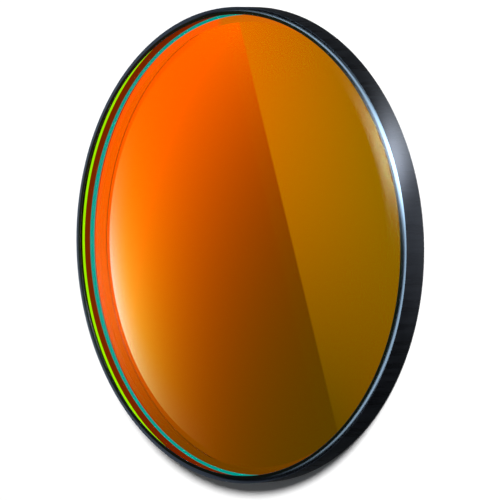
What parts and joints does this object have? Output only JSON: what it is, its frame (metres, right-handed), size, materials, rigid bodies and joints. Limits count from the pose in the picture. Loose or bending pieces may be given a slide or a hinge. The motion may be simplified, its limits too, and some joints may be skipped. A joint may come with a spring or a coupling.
{
  "type": "optical bandpass filter",
  "caption": "Unmounted round optical bandpass filter: thin coated glass disc with an orange mirror coating, bevelled edges and a black lacquered rim.",
  "frame": {"origin": "middle of the rear side, on the plane of the rear border that the filter lies on", "axes": "+Z is the optical axis, out of the front face; X and Y lie in the disc"},
  "size_m": [0.036, 0.036, 0.002],
  "materials": {
    "clear_glass": "polished plane-parallel optical glass",
    "anti_reflection_film": "clear thin-film anti-reflection coating",
    "bandpass_mirror_film": "orange reflecting dielectric interference coating",
    "black_lacquer": "satin black edge lacquer"
  },
  "bodies": {
    "root": {"glass_substrate": "clear_glass", "front_coating": "anti_reflection_film", "rear_coating": "bandpass_mirror_film", "edge_lacquer": "black_lacquer"}
  },
  "joints": []
}
